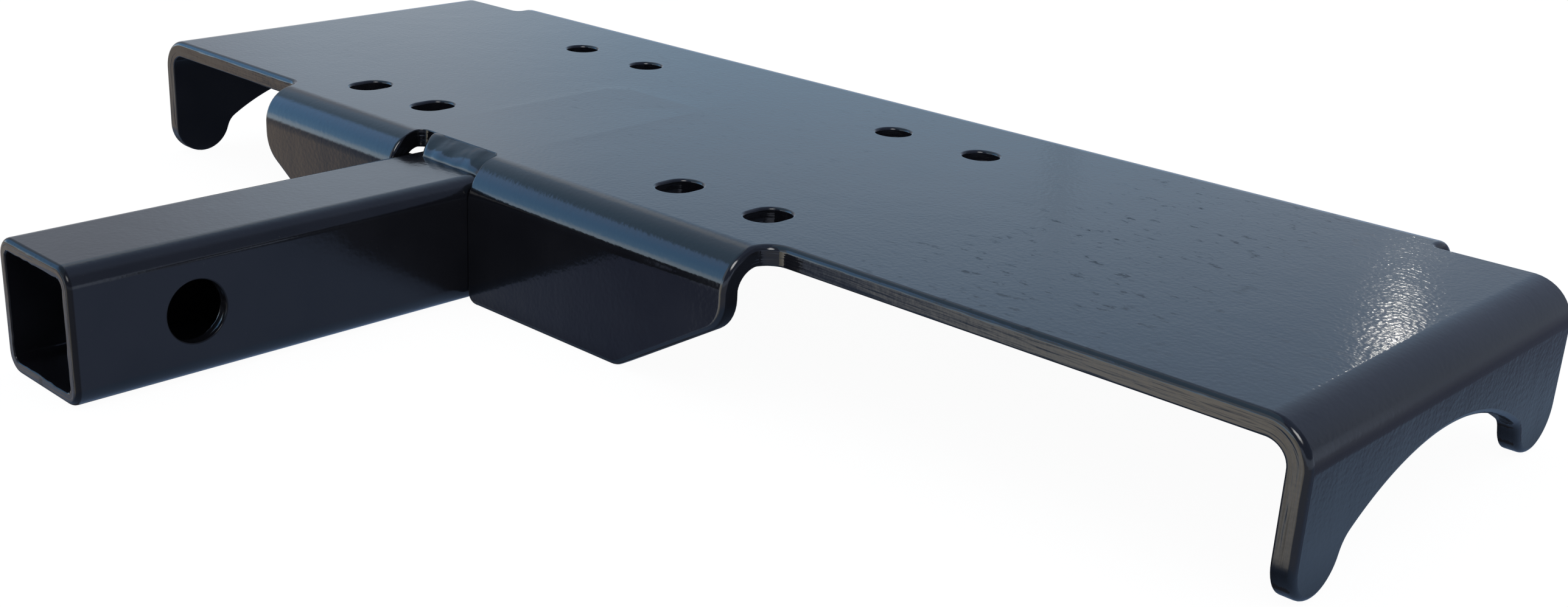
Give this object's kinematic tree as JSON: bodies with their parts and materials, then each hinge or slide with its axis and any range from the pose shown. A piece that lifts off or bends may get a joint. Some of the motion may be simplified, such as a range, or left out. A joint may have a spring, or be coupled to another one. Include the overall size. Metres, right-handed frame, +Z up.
{
  "type": "receiver-mounted winch plate",
  "caption": "Bent steel winch plate with end legs and a split front flange, welded to a square receiver shank with a cross hole for a hitch pin.",
  "frame": {"origin": "on the shank's centre plane, level with the front flange's outer face, on the plane the shank's underside and the end legs stand on", "axes": "+X along the plate's long side, +Y from the receiver towards the plate's back, +Z up out of the deck"},
  "size_m": [0.381, 0.2437, 0.0365],
  "materials": {
    "plate_coat": "semi-gloss black powder coat",
    "tube_coat": "semi-gloss black powder coat",
    "weld_coat": "semi-gloss black powder coat over rippled weld bead"
  },
  "bodies": {
    "root": {"deck_plate": "plate_coat", "shank_tube": "tube_coat", "notch_weld": "weld_coat", "side_weld_left": "weld_coat", "side_weld_right": "weld_coat", "rear_weld": "weld_coat", "flange_weld_left": "weld_coat", "flange_weld_right": "weld_coat"}
  },
  "joints": []
}
